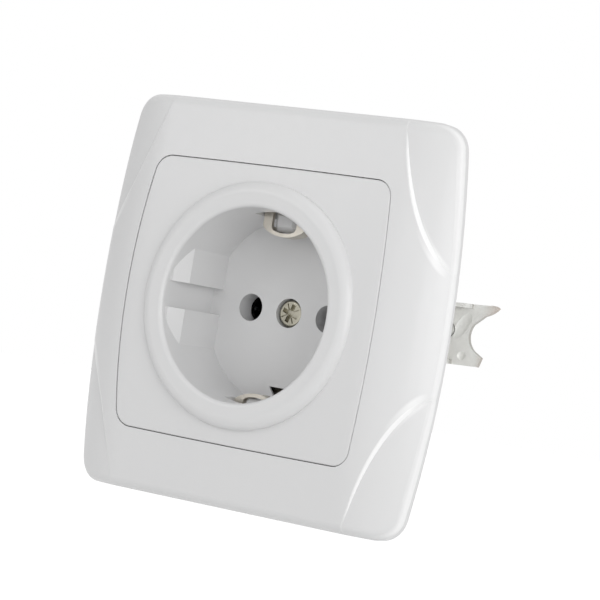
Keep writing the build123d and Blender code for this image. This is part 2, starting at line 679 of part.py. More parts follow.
def contact_space():
    """Well, channel, terminal pocket, wire mouth and foot recess on the right of the base."""
    space = rod(PIN_X, 0, PIN_BOSS_R + BASE_CLEAR, BASE_Y - 1, TAIL_BACK)
    half = TERMINAL_HALF + BASE_CLEAR
    z0 = TERMINAL_Z - TERMINAL_SPAN - BASE_CLEAR
    z1 = TERMINAL_Z + TERMINAL_SPAN + BASE_CLEAR
    space += block(TERMINAL_X - half, TERMINAL_X + half, BASE_Y - 1, TAIL_BACK, z0, z1)
    channel = TAIL_WIDTH / 2 + BASE_CLEAR
    tail_x = (PIN_X + TERMINAL_X) / 2
    space += block(tail_x - channel, tail_x + channel, TULIP_FRONT, TAIL_BACK, z1 - 1, 0)
    space += block(tail_x - channel, tail_x + channel, TULIP_BACK, TAIL_BACK, z0, 0)
    mouth = block(
        TERMINAL_X - TERMINAL_HALF, TERMINAL_X + TERMINAL_HALF,
        TULIP_BACK - WIRE_GAP, TULIP_BACK, -BASE_HALF - 1, z0 + 1,
    )
    screw_back = terminal_top() + TERMINAL_HEAD_H + TERMINAL_SHANK_L + 1
    space += mouth
    space += rod(TERMINAL_X, TERMINAL_Z, TERMINAL_SHANK_R + BASE_CLEAR, TAIL_BACK - 1, screw_back)
    x, z = rivet_place()
    space += rod(x, z, RIVET_R + SHANK_FIT, BASE_Y - 1, BASE_BACK + 1)
    inner = CUP_OUT_R + LEG_GAP
    foot = block(
        inner - FOOT_LENGTH - BASE_CLEAR, FAR / 2, BASE_Y - 1, BASE_Y + FOOT_SINK + STRAP_T,
        -LEG_WIDTH / 2 - BASE_CLEAR, LEG_WIDTH / 2 + BASE_CLEAR,
    )
    return space + foot.rotate(Axis.Y, -LEG_ANGLE)


def terminal_top():
    return TULIP_BACK - WIRE_GAP - CLAMP_T - TERMINAL_HEAD_H


def make_contact():
    """Slit pin socket with a tail that ends under the terminal screw."""
    body = rod(PIN_X, 0, TULIP_R, TULIP_FRONT, TULIP_BACK)
    body -= rod(PIN_X, 0, TULIP_IN_R, TULIP_FRONT - 1, TULIP_BACK)
    slit_end = TULIP_BACK - TULIP_ROOT
    for angle in (0, 90):
        slit = Box(TULIP_SLIT, slit_end - TULIP_FRONT + 1, 4 * TULIP_R)
        mid = (slit_end + TULIP_FRONT - 1) / 2
        body -= Pos(PIN_X, mid, 0) * Rot(0, angle, 0) * slit
    tail_x = (PIN_X + TERMINAL_X) / 2
    z0 = TERMINAL_Z - TERMINAL_SPAN
    tail = Pos(tail_x, z0 / 2) * Rectangle(TAIL_WIDTH, -z0) + Pos(PIN_X, 0) * Circle(TULIP_R)
    tail -= Pos(TERMINAL_X, TERMINAL_Z) * Circle(TERMINAL_SHANK_R + SHANK_FIT)
    return body + slab(tail, TULIP_BACK, TAIL_BACK)


def make_ring():
    """Steel ring that keeps the pin socket tight."""
    front = TULIP_FRONT + RING_DROP
    ring = Circle(TULIP_R + RING_FIT + RING_T) - Circle(TULIP_R + RING_FIT)
    return slab(Pos(PIN_X, 0) * ring, front, front + RING_LENGTH)


def make_terminal_screw():
    top = terminal_top()
    body = screw(
        TERMINAL_X, TERMINAL_Z, top, TERMINAL_HEAD_R, TERMINAL_HEAD_H, TERMINAL_SHANK_R, TERMINAL_SHANK_L
    )
    return slotted(body, TERMINAL_X, TERMINAL_Z, top, TERMINAL_HEAD_R)


def make_clamp_plate():
    sketch = RectangleRounded(2 * TERMINAL_HALF, 2 * TERMINAL_SPAN, PLATE_ROUND)
    sketch -= Circle(TERMINAL_SHANK_R + PLATE_FIT)
    back = TULIP_BACK - WIRE_GAP
    return slab(Pos(TERMINAL_X, TERMINAL_Z) * sketch, back - CLAMP_T, back)


def make_earth_screw():
    top = BOW_Y - SADDLE_T - EARTH_HEAD_H
    body = screw(0, EARTH_Z, top, TERMINAL_HEAD_R, EARTH_HEAD_H, TERMINAL_SHANK_R, TERMINAL_SHANK_L - 1)
    cut_half = SLOT_WIDTH / 2
    cut = block(-FAR, FAR, top, top + EARTH_HEAD_H / 2, EARTH_Z - cut_half, EARTH_Z + cut_half)
    return body - cut


def make_earth_saddle():
    sketch = RectangleRounded(2 * SADDLE_HALF, 2 * SADDLE_HALF, PLATE_ROUND)
    sketch -= Circle(TERMINAL_SHANK_R + PLATE_FIT)
    return slab(Pos(0, EARTH_Z) * sketch, BOW_Y - SADDLE_T, BOW_Y)


def claw_span():
    """Lowest and highest Z of the right claw."""
    return CLAW_Z - CLAW_LOW, CLAW_Z + CLAW_TOP


def bulged(start, end, bulge):
    """Shallow arc whose middle stands off the straight line, to the left on the way."""
    run_x = end[0] - start[0]
    run_z = end[1] - start[1]
    length = math.hypot(run_x, run_z)
    mid_x = (start[0] + end[0]) / 2 - bulge * run_z / length
    mid_z = (start[1] + end[1]) / 2 + bulge * run_x / length
    return ThreePointArc(start, (mid_x, mid_z), end)


def claw_outline():
    """Claw plate with a long horn above, a blunt barb below and a hollow edge between them."""
    low, high = claw_span()
    left_high = high - CLAW_TOP_SLOPE
    crest = (CLAW_X + HORN_CREST_X, high)
    tip = (CLAW_X + HORN_TIP_X, high - HORN_TIP_DROP)
    under = (CLAW_X + HORN_UNDER_X, CLAW_Z + HORN_UNDER_Z)
    root = (CLAW_X + HORN_ROOT_X, CLAW_Z + HORN_ROOT_Z)
    hollow = (CLAW_X + HOLLOW_X, CLAW_Z + HOLLOW_Z)
    barb_root = (CLAW_X + BARB_ROOT_X, CLAW_Z + BARB_ROOT_Z)
    barb = (CLAW_X + BARB_X, CLAW_Z + BARB_Z)
    foot = (CLAW_X + CLAW_FOOT_X, low + CLAW_LOW_SLOPE)
    edges = [
        Polyline(
            (CLAW_IN + CLAW_CORNER_CUT, low), (CLAW_IN, low + CLAW_CORNER_CUT),
            (CLAW_IN, left_high - CLAW_CORNER_CUT), (CLAW_IN + CLAW_CORNER_CUT, left_high), crest,
        ),
        bulged(crest, tip, HORN_SWELL),
        bulged(tip, under, HORN_SWELL),
        Line(under, root),
        ThreePointArc(root, hollow, barb_root),
        Polyline(barb_root, barb, foot, (CLAW_IN + CLAW_CORNER_CUT, low)),
    ]
    return make_face(edges)


def claw_lips():
    """Strips along the claw's top and bottom edges, left standing as folded lips."""
    low, high = claw_span()
    face = claw_outline()
    start = CLAW_IN + CLAW_CORNER_CUT
    top_length = CLAW_X + TOP_LIP_END - start
    low_length = CLAW_X + LOW_LIP_END - start
    top = face - Pos(0, -CLAW_LIP_T) * face
    top &= Pos(start + top_length / 2, high) * Rectangle(top_length, CLAW_TOP)
    bottom = face - Pos(0, CLAW_LIP_T) * face
    return top + (bottom & Pos(start + low_length / 2, low) * Rectangle(low_length, CLAW_LOW))


def make_claw():
    back = CLAW_Y + CLAW_T
    body = slab(claw_outline(), CLAW_Y, back)
    body += slab(claw_lips(), CLAW_Y - CLAW_LIP, CLAW_Y)
    body += rod(CLAW_X, CLAW_Z, CLAW_BOSS_R, back, back + CLAW_BOSS_H)
    body -= rod(CLAW_X, CLAW_Z, CLAW_SCREW_R + CLAW_SCREW_FIT, CLAW_Y - 2, back + CLAW_BOSS_H + 1)
    crease_y = CLAW_Y + CREASE_DEPTH - CREASE_SWEEP_R - CREASE_R
    crease = Torus(CREASE_SWEEP_R, CREASE_R)
    body -= Pos(CLAW_X + CREASE_X, crease_y, CLAW_Z + CREASE_Z) * Rot(0, CREASE_ANGLE, 0) * crease
    dimple_y = CLAW_Y + DIMPLE_DEPTH - DIMPLE_R
    return body - Pos(CLAW_X + DIMPLE_X, dimple_y, CLAW_Z + DIMPLE_Z) * Sphere(DIMPLE_R)


def make_claw_screw():
    top = -STRAP_T - CLAW_HEAD_GAP - CLAW_HEAD_H
    length = CLAW_SCREW_END - top - CLAW_HEAD_H
    body = screw(CLAW_X, CLAW_Z, top, CLAW_HEAD_R, CLAW_HEAD_H, CLAW_SCREW_R, length)
    return slotted(body, CLAW_X, CLAW_Z, top, CLAW_HEAD_R)


def save(name, shape):
    export_step(shape, os.path.join("parts", name + ".step"))


def save_pair(name, shape):
    """The right-hand piece and its twin, half a turn away."""
    save(name + "_right", shape)
    save(name + "_left", half_turn(shape))


save("decor_frame", make_frame())
save("socket_cover", make_cover())
save("cover_screw", make_cover_screw())
save("earth_bow", make_earth_bow())
save("support_strap", make_strap())
save("ceramic_base", make_base())
save_pair("contact", make_contact())
save_pair("terminal_screw", make_terminal_screw())
save_pair("clamp_plate", make_clamp_plate())
save_pair("claw", make_claw())
save_pair("claw_screw", make_claw_screw())
save("earth_screw", make_earth_screw())
save("earth_saddle", make_earth_saddle())
save("bow_rivet", rivet(0, BOW_RIVET_Z, BOW_Y - RIVET_HEAD_H))

ring = make_ring()
save("tulip_rings", Compound([ring, half_turn(ring)]))
rivet_x, rivet_z = rivet_place()
strap_rivet = rivet(rivet_x, rivet_z, BASE_Y + FOOT_SINK - RIVET_HEAD_H)
save("strap_rivets", Compound([strap_rivet, half_turn(strap_rivet)]))
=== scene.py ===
import math

import bmesh
import bpy
from mathutils import Matrix, Vector


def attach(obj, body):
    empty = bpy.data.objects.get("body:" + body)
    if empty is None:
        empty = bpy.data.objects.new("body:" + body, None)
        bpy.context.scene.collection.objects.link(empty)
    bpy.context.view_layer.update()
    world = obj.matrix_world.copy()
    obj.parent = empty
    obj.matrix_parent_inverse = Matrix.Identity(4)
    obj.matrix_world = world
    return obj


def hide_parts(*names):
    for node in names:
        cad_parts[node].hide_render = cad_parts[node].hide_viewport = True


# A flush-mounted earthed wall socket, dressed for the studio. Metres; +Z is up, -Y points out of
# the wall into the room, and the origin is on the cup's axis in the plane of the wall.

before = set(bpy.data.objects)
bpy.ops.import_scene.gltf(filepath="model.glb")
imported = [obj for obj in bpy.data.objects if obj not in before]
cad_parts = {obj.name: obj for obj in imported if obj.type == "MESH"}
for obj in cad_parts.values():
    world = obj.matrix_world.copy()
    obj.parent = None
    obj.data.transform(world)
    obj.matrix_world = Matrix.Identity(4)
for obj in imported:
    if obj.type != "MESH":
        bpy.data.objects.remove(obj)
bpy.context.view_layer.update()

# Camera: seen from the right, turned a little about its own axis
CAMERA_AT = Vector((0.26818, -0.40712, -0.00541))
CAMERA_RIGHT = Vector((0.8313, 0.5311, 0.1639))
CAMERA_AHEAD = Vector((-0.5407, 0.8411, 0.0172))
CAMERA_FOCAL_PX = 2400.4
CAMERA_CLIP = (0.01, 20.0)
IMAGE_PX = 600
SENSOR = 36.0

# Claw screws: their axes, their shanks and the thread that the plain rod stands for
CLAW_X = 0.0247
CLAW_Z = 0.0022
SCREW_R = 0.00175
SCREW_END = 0.0340
SCREW_PITCH = 0.0007
THREAD_DEPTH = 0.00028
THREAD_START = 0.0042
THREAD_END_GAP = 0.0006
THREAD_STEPS = 24
THREAD_CREST = (0.40, 0.60)
ROOT_R = SCREW_R - THREAD_DEPTH
SHANK_RUNOUT = 0.0003
TIP_FOOT = 0.0007
TIP_EDGE = 0.0003
TIP_BEVEL = 0.0004

# Heads of the claw screws, each with a slot
SCREW_HEAD_R = 0.0027
SCREW_HEAD_FRONT = -0.0035
SCREW_HEAD_H = 0.0020
HEAD_FRONT_EDGE = 0.0003
HEAD_BACK_EDGE = 0.0002
HEAD_NECK = 0.0001
SLOT_WIDTH = 0.0010
SLOT_DEPTH = 0.0011
SLOT_CORNER_IN = 0.00025
TURNED_STEPS = 48
HALF_HEAD_STEPS = 18
SHARP_ABOVE = math.radians(32)

# The wide arcs that bound the steps in the frame's corners, and the painted highlight along them
STEP_ARC_X = 0.181
STEP_ARC_Z = 0.0821
STEP_ARC_FOOT = 0.1552
STEP_TAPER = 0.5
STEP_LINE = (0.00035, 0.00065)
STEP_FACING = (0.40, 0.70)
STEP_FADE = (0.0385, 0.0415)

# The frame's rounded outer edge, with a painted highlight along its two sides; the spans are of the
# normal's parts
RIM_FROM_X = 0.0362
RIM_FROM_Z = 0.0387
RIM_HIGHLIGHT = 0.7
RIM_BY_FACE = (-0.75, -0.45)
RIM_BY_WALL = (-0.12, -0.02)
RIM_BY_ENDS = (0.55, 0.90)

# The claw's cut edges, by its normal, and its browned tip, by its distance from the middle
CLAW_CUT = (0.35, 0.75)
CLAW_TIP = (0.0335, 0.0368)
CLAW_TIP_WAVER = 0.0024
CLAW_BROWNING = 0.55
CLAW_METALLIC = 0.12

# Passages of the pins through porcelain and brass, darkened with painted shade
PASSAGE_AXIS_X = 0.0095
PASSAGE_R = 0.0026
PASSAGE_END = 0.0300
PORCELAIN_WELL_R = 0.0044
BRASS_SOCKET_R = 0.0033

# Noise textures: scales by the metre, spans in which their values mostly lie, heights of bumps
GRAIN_SCALE = 2600.0
GLAZE_GRAIN_SCALE = 900.0
SINK_SCALE = 70.0
SINK_SHARE = 1.6
CLOUD_SCALE = 38.0
POLISH_SCALE = 420.0
LINE_SCALE = 1500.0
BRASS_LINE_SCALE = 1700.0
BLOTCH_SCALE = 260.0
SPECK_SCALE = 1400.0
SPECK_SPAN = (0.74, 0.80)
SPECK_DEPTH = 0.5
NOISE_SPAN = (0.3, 0.7)
BLOTCH_SPAN = (0.35, 0.7)
UNEVEN_SPAN = (0.35, 0.65)
FADE_IN = (0.0, 1.0)
FADE_OUT = (1.0, 0.0)
MOULDED_BUMP = 0.000002
CLAW_BUMP = 0.00003
GLAZE_BUMP = 0.00004
BRASS_BUMP = 0.00002

# Studio: floor, surroundings and softboxes, each as place, width, height and power
FLOOR_Z = -0.115
FLOOR_REACH = 3.0
FLOOR_COLOUR = (0.80, 0.80, 0.80)
FLOOR_GLOW = 0.62
FLOOR_MOTTLE_SCALE = 9.0
FLOOR_MOTTLE = 0.985
SURROUNDINGS_LIGHT = 0.59
SURROUNDINGS_IN_GLOSS = 0.8
SOFTBOXES = {
    "key_right": ((0.92, 0.08, 0.24), 0.35, 0.35, 0.6),
    "top_light": ((0.05, -0.03, 0.85), 0.8, 0.3, 0.7),
    "front_fill": ((0.95, -0.60, 0.15), 0.6, 0.6, 4.1),
    "front_light": ((0.25, -1.10, 0.10), 0.6, 0.6, 0.75),
    "high_left": ((-0.55, -0.85, 0.35), 0.5, 0.3, 1.0),
}


# Building materials from nodes

def new_group(name, inputs, outputs):
    """Shader node group with named sockets; returns the group and its two end nodes."""
    group = bpy.data.node_groups.new(name, "ShaderNodeTree")
    for label, kind, value in inputs:
        socket = group.interface.new_socket(label, in_out="INPUT", socket_type=kind)
        if value is not None:
            socket.default_value = value
    for label, kind in outputs:
        group.interface.new_socket(label, in_out="OUTPUT", socket_type=kind)
    return group, group.nodes.new("NodeGroupInput"), group.nodes.new("NodeGroupOutput")


def node(tree, kind, **settings):
    made = tree.nodes.new("ShaderNode" + kind)
    for key, value in settings.items():
        setattr(made, key, value)
    return made


def maths(tree, operation, first, second=None, third=None):
    """One Math node; numbers are written on its sockets and sockets are linked."""
    made = node(tree, "Math", operation=operation)
    for index, value in enumerate((first, second, third)):
        if value is None:
            continue
        if isinstance(value, (int, float)):
            made.inputs[index].default_value = value
        else:
            tree.links.new(value, made.inputs[index])
    return made.outputs[0]


def absolute(tree, value):
    return maths(tree, "ABSOLUTE", value)


def product(tree, first, *others):
    for other in others:
        first = maths(tree, "MULTIPLY", first, other)
    return first


def xyz(tree, vector):
    """The three parts of a vector, by name."""
    made = node(tree, "SeparateXYZ")
    tree.links.new(vector, made.inputs[0])
    return made.outputs


def ranged(tree, value, source, result):
    """Value stretched from the source span to the result span and held at its ends."""
    made = node(tree, "MapRange")
    tree.links.new(value, made.inputs["Value"])
    for label, number in zip(("From Min", "From Max", "To Min", "To Max"), (*source, *result)):
        made.inputs[label].default_value = number
    return made.outputs["Result"]


def blended(tree, factor, first, second):
    """Colour that goes from the first to the second by the factor."""
    made = node(tree, "Mix", data_type="RGBA")
    tree.links.new(factor, made.inputs["Factor"])
    for socket, value in ((made.inputs["A"], first), (made.inputs["B"], second)):
        if isinstance(value, tuple):
            socket.default_value = (*value, 1.0)
        else:
            tree.links.new(value, socket)
    return made.outputs["Result"]


def noise(tree, vector, scale, detail=2.0, roughness=0.5):
    """Noise texture, with its scale as a number or linked."""
    made = node(tree, "TexNoise")
    tree.links.new(vector, made.inputs["Vector"])
    if isinstance(scale, float):
        made.inputs["Scale"].default_value = scale
    else:
        tree.links.new(scale, made.inputs["Scale"])
    made.inputs["Detail"].default_value = detail
    made.inputs["Roughness"].default_value = roughness
    return made.outputs["Fac"]


def bumped(tree, shader, height, distance):
    made = node(tree, "Bump")
    made.inputs["Strength"].default_value = 1.0
    made.inputs["Distance"].default_value = distance
    tree.links.new(height, made.inputs["Height"])
    tree.links.new(made.outputs["Normal"], shader.inputs["Normal"])


def moulded_grain_group():
    """Fine die texture, slow sink waves and a faint cloudiness of moulded plastic."""
    group, start, end = new_group(
        "Moulded Grain",
        [("Vector", "NodeSocketVector", None), ("Grain Scale", "NodeSocketFloat", GRAIN_SCALE)],
        [("Height", "NodeSocketFloat"), ("Cloud", "NodeSocketFloat"), ("Polish", "NodeSocketFloat")],
    )
    vector = start.outputs["Vector"]
    fine = noise(group, vector, start.outputs["Grain Scale"], 3.0)
    wave = noise(group, vector, SINK_SCALE, 1.0)
    height = maths(group, "ADD", fine, maths(group, "MULTIPLY", wave, SINK_SHARE))
    group.links.new(height, end.inputs["Height"])
    group.links.new(noise(group, vector, CLOUD_SCALE), end.inputs["Cloud"])
    group.links.new(noise(group, vector, POLISH_SCALE, 4.0, 0.6), end.inputs["Polish"])
    return group


def rolled_metal_group():
    """Rolling lines along the sheet, with plating blotches."""
    group, start, end = new_group(
        "Rolled Metal",
        [
            ("Vector", "NodeSocketVector", None),
            ("Stretch", "NodeSocketVector", (1.0, 1.0, 1.0)),
            ("Line Scale", "NodeSocketFloat", LINE_SCALE),
        ],
        [("Lines", "NodeSocketFloat"), ("Blotch", "NodeSocketFloat")],
    )
    drawn = node(group, "VectorMath", operation="MULTIPLY")
    group.links.new(start.outputs["Vector"], drawn.inputs[0])
    group.links.new(start.outputs["Stretch"], drawn.inputs[1])
    lines = noise(group, drawn.outputs[0], start.outputs["Line Scale"], 3.0)
    group.links.new(lines, end.inputs["Lines"])
    blotch = noise(group, start.outputs["Vector"], BLOTCH_SCALE, 4.0, 0.65)
    group.links.new(blotch, end.inputs["Blotch"])
    return group


def pin_passage_group():
    """One inside a pin's passage, where shade is painted, and nothing outside it, for the two
    passages alike.
    """
    group, start, end = new_group(
        "Pin Passage",
        [
            ("Vector", "NodeSocketVector", None),
            ("Axis X", "NodeSocketFloat", PASSAGE_AXIS_X),
            ("Radius", "NodeSocketFloat", PASSAGE_R),
            ("End", "NodeSocketFloat", PASSAGE_END),
        ],
        [("Inside", "NodeSocketFloat")],
    )
    at = xyz(group, start.outputs["Vector"])
    across = maths(group, "SUBTRACT", absolute(group, at["X"]), start.outputs["Axis X"])
    square = maths(
        group, "ADD", product(group, across, across), product(group, at["Z"], at["Z"])
    )
    close = maths(group, "LESS_THAN", maths(group, "SQRT", square), start.outputs["Radius"])
    before_end = maths(group, "LESS_THAN", at["Y"], start.outputs["End"])
    group.links.new(product(group, close, before_end), end.inputs["Inside"])
    return group


MOULDED_GRAIN = moulded_grain_group()
ROLLED_METAL = rolled_metal_group()
PIN_PASSAGE = pin_passage_group()


def placed(tree, group, vector, **values):
    """Outputs of a group placed in a material, with its inputs set by name."""
    made = node(tree, "Group", label=group.name, node_tree=group)
    tree.links.new(vector, made.inputs["Vector"])
    for key, value in values.items():
        made.inputs[key.replace("_", " ")].default_value = value
    return made.outputs


def start_material(name):
    """Empty material with its surface shader, and the coordinates to draw by."""
    material = bpy.data.materials.new(name)
    material.use_nodes = True
    tree = material.node_tree
    tree.nodes.clear()
    output = node(tree, "OutputMaterial")
    shader = node(tree, "BsdfPrincipled")
    tree.links.new(shader.outputs["BSDF"], output.inputs["Surface"])
    return material, tree, shader, node(tree, "TexCoord").outputs


def painted_arc_highlight(tree, at, normal):
    """One along the sharp arcs in the frame's corners, where a highlight is painted into the colour,
    and nothing elsewhere.
    """
    out = absolute(tree, at["X"])
    away_x = maths(tree, "SUBTRACT", STEP_ARC_X, out)
    away_z = maths(tree, "SUBTRACT", STEP_ARC_Z, absolute(tree, at["Z"]))
    reach = maths(
        tree, "SQRT",
        maths(tree, "ADD", maths(tree, "POWER", away_x, 2.0), maths(tree, "POWER", away_z, 2.0)),
    )
    level = maths(tree, "MULTIPLY_ADD", at["Y"], STEP_TAPER, -STEP_ARC_FOOT)
    towards = maths(
        tree, "ADD",
        product(tree, absolute(tree, normal["X"]), away_x),
        product(tree, absolute(tree, normal["Z"]), away_z),
    )
    # Mask of the painted highlight: near the step's wall, facing the corner, fading towards the side
    return product(
        tree,
        ranged(tree, absolute(tree, maths(tree, "ADD", reach, level)), STEP_LINE, FADE_OUT),
        ranged(tree, maths(tree, "DIVIDE", towards, reach), STEP_FACING, FADE_IN),
        ranged(tree, out, STEP_FADE, FADE_OUT),
    )


def painted_rim_highlight(tree, at, normal):
    """High on the rounded outer edge along the frame's two sides, where a highlight is painted into
    the colour.
    """
    outer = maths(
        tree, "MAXIMUM",
        maths(tree, "GREATER_THAN", absolute(tree, at["X"]), RIM_FROM_X),
        maths(tree, "GREATER_THAN", absolute(tree, at["Z"]), RIM_FROM_Z),
    )
    # Mask of the painted highlight on the rounding, kept off the flat face and the side wall
    return product(
        tree,
        outer,
        ranged(tree, normal["Y"], RIM_BY_FACE, (0.0, RIM_HIGHLIGHT)),
        ranged(tree, normal["Y"], RIM_BY_WALL, FADE_OUT),
        ranged(tree, absolute(tree, normal["Z"]), RIM_BY_ENDS, FADE_OUT),
    )


def moulded_white(name, colour, shade, gloss, grain_scale, painted_highlight=None):
    """White moulding with a fine grain, and a painted highlight on the frame's corner arcs and outer
    edge.
    """
    material, tree, shader, coordinates = start_material(name)
    grain = placed(tree, MOULDED_GRAIN, coordinates["Object"], Grain_Scale=grain_scale)
    white = blended(tree, grain["Cloud"], colour, shade)
    if painted_highlight:
        at, normal = xyz(tree, coordinates["Object"]), xyz(tree, coordinates["Normal"])
        # Painted highlight: the colour goes towards near white along the corner arcs and the rounded
        # sides
        bright = maths(
            tree, "MAXIMUM", painted_arc_highlight(tree, at, normal), painted_rim_highlight(tree, at, normal)
        )
        white = blended(tree, bright, white, painted_highlight)
    tree.links.new(white, shader.inputs["Base Color"])
    tree.links.new(ranged(tree, grain["Polish"], NOISE_SPAN, gloss), shader.inputs["Roughness"])
    shader.inputs["IOR"].default_value = 1.5
    bumped(tree, shader, grain["Height"], MOULDED_BUMP)
    return material


def rolled_sheet(name, bright, dull, gloss, stretch, line_scale, line_height):
    """Plated sheet metal with rolling lines and slightly uneven plating."""
    material, tree, shader, coordinates = start_material(name)
    metal = placed(
        tree, ROLLED_METAL, coordinates["Object"], Stretch=stretch, Line_Scale=line_scale
    )
    plating = blended(tree, ranged(tree, metal["Blotch"], BLOTCH_SPAN, FADE_IN), bright, dull)
    tree.links.new(plating, shader.inputs["Base Color"])
    uneven = maths(tree, "MULTIPLY", maths(tree, "ADD", metal["Blotch"], metal["Lines"]), 0.5)
    tree.links.new(ranged(tree, uneven, UNEVEN_SPAN, gloss), shader.inputs["Roughness"])
    shader.inputs["Metallic"].default_value = 1.0
    bumped(tree, shader, metal["Lines"], line_height)
    return material


def claw_plating(name, bright, dull, cut_edge, browned, gloss):
    """Matt zinc over pressed steel, darker on the cut edges and browned at the horn's tip."""
    material, tree, shader, coordinates = start_material(name)
    metal = placed(
        tree, ROLLED_METAL, coordinates["Object"], Stretch=(1.0, 1.0, 0.2), Line_Scale=LINE_SCALE
    )
    plating = blended(tree, ranged(tree, metal["Blotch"], BLOTCH_SPAN, FADE_IN), bright, dull)
    facing = absolute(tree, xyz(tree, coordinates["Normal"])["Y"])
    plating = blended(tree, ranged(tree, facing, CLAW_CUT, FADE_OUT), plating, cut_edge)
    out = absolute(tree, xyz(tree, coordinates["Object"])["X"])
    waver = maths(tree, "MULTIPLY", metal["Blotch"], CLAW_TIP_WAVER)
    at_tip = ranged(tree, maths(tree, "ADD", out, waver), CLAW_TIP, (0.0, CLAW_BROWNING))
    tree.links.new(blended(tree, at_tip, plating, browned), shader.inputs["Base Color"])
    tree.links.new(ranged(tree, metal["Lines"], NOISE_SPAN, gloss), shader.inputs["Roughness"])
    shader.inputs["Metallic"].default_value = CLAW_METALLIC
    bumped(tree, shader, maths(tree, "ADD", metal["Lines"], metal["Blotch"]), CLAW_BUMP)
    return material


def glazed_white(name, white, shade, speck, painted_shade, gloss):
    """Porcelain under a clear glaze, with a few pin-point specks and painted shade in the pin wells.
    """
    material, tree, shader, coordinates = start_material(name)
    place = coordinates["Object"]
    grain = placed(tree, MOULDED_GRAIN, place, Grain_Scale=GLAZE_GRAIN_SCALE)
    specks = ranged(tree, noise(tree, place, SPECK_SCALE, 1.0), SPECK_SPAN, (0.0, SPECK_DEPTH))
    body = blended(tree, specks, blended(tree, grain["Cloud"], white, shade), speck)
    # Painted shade: the porcelain goes near black in the wells behind the pins
    well = placed(tree, PIN_PASSAGE, place, Radius=PORCELAIN_WELL_R)["Inside"]
    tree.links.new(blended(tree, well, body, painted_shade), shader.inputs["Base Color"])
    tree.links.new(ranged(tree, grain["Polish"], NOISE_SPAN, gloss), shader.inputs["Roughness"])
    shader.inputs["Coat Weight"].default_value = 0.5
    shader.inputs["Coat Roughness"].default_value = 0.08
    bumped(tree, shader, grain["Height"], GLAZE_BUMP)
    return material


def turned_brass(name, bright, dull, painted_shade, gloss):
    """Brass that is bright outside, with painted shade darkening it inside the pin's passage."""
    material, tree, shader, coordinates = start_material(name)
    place = coordinates["Object"]
    metal = placed(
        tree, ROLLED_METAL, place, Stretch=(1.0, 0.08, 1.0), Line_Scale=BRASS_LINE_SCALE
    )
    # Painted shade: the brass goes near black inside the pin's passage
    inside = placed(tree, PIN_PASSAGE, place, Radius=BRASS_SOCKET_R)["Inside"]
    brass = blended(tree, metal["Blotch"], bright, dull)
    tree.links.new(blended(tree, inside, brass, painted_shade), shader.inputs["Base Color"])
    tree.links.new(ranged(tree, metal["Lines"], NOISE_SPAN, gloss), shader.inputs["Roughness"])
    shader.inputs["Metallic"].default_value = 1.0
    bumped(tree, shader, metal["Lines"], BRASS_BUMP)
    return material


# The frame is lightened to near white along its corner arcs and rounded sides: a painted highlight
WHITE_FRAME = moulded_white(
    "white_frame_moulding", (0.735, 0.735, 0.735), (0.715, 0.716, 0.720),
    (0.30, 0.38), 3000.0, painted_highlight=(0.96, 0.96, 0.96),
)
WHITE_COVER = moulded_white(
    "white_cover_moulding", (0.725, 0.725, 0.725), (0.705, 0.706, 0.710),
    (0.29, 0.36), 3400.0,
)
NICKEL = rolled_sheet(
    "nickel_plated_spring_strip", (0.68, 0.64, 0.57), (0.55, 0.52, 0.46),
    (0.28, 0.40), (1.0, 0.12, 0.12), 2600.0, 0.000010,
)
PASSIVATED = rolled_sheet(
    "yellow_passivated_steel", (0.42, 0.40, 0.33), (0.31, 0.295, 0.245),
    (0.28, 0.44), (1.0, 1.0, 1.0), 3200.0, 0.000012,
)
ZINC = rolled_sheet(
    "zinc_plated_sheet", (0.86, 0.87, 0.86), (0.74, 0.75, 0.75),
    (0.28, 0.46), (0.15, 1.0, 1.0), 1700.0, 0.000012,
)
SCREW_ZINC = rolled_sheet(
    "zinc_plated_screw", (0.44, 0.44, 0.42), (0.34, 0.34, 0.33),
    (0.50, 0.64), (1.0, 0.4, 1.0), 2200.0, 0.000010,
)
SPRING_STEEL = rolled_sheet(
    "blued_spring_wire", (0.46, 0.47, 0.49), (0.34, 0.35, 0.38),
    (0.28, 0.42), (1.0, 1.0, 0.1), 2600.0, 0.000008,
)
CLAW_ZINC = claw_plating(
    "zinc_plated_claw", (0.97, 0.97, 0.94), (0.88, 0.88, 0.85),
    cut_edge=(0.46, 0.45, 0.42), browned=(0.62, 0.50, 0.42), gloss=(0.38, 0.55),
)
# The porcelain is near black in the pin wells: painted shade
GLAZE = glazed_white(
    "glazed_porcelain", (0.80, 0.79, 0.755), (0.74, 0.73, 0.70),
    speck=(0.42, 0.38, 0.33), painted_shade=(0.030, 0.028, 0.026), gloss=(0.18, 0.26),
)
# The brass is near black inside the pin passages: painted shade
BRASS = turned_brass(
    "turned_brass", (0.80, 0.61, 0.31), (0.66, 0.47, 0.22),
    painted_shade=(0.012, 0.011, 0.010), gloss=(0.28, 0.42),
)

# Every node that isn't named here is zinc-plated steel
FINISH_OF_NODE = {
    "decor_frame": WHITE_FRAME,
    "socket_cover": WHITE_COVER,
    "ceramic_base": GLAZE,
    "earth_bow": NICKEL,
    "cover_screw": PASSIVATED,
    "earth_saddle": NICKEL,
    "bow_rivet": NICKEL,
    "contact_right": BRASS,
    "contact_left": BRASS,
    "tulip_rings": SPRING_STEEL,
    "claw_right": CLAW_ZINC,
    "claw_left": CLAW_ZINC,
}

for name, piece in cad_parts.items():
    piece.data.materials.clear()
    piece.data.materials.append(FINISH_OF_NODE.get(name, ZINC))


# Claw screws, with the real thread that the plain rod stands for

def about_screw(side, radius, angle, depth):
    """Point at an angle about a claw screw's axis; side is 1 on the right and -1 on the left."""
    x = CLAW_X + radius * math.cos(angle)
    z = CLAW_Z + radius * math.sin(angle)
    return side * x, depth, side * z


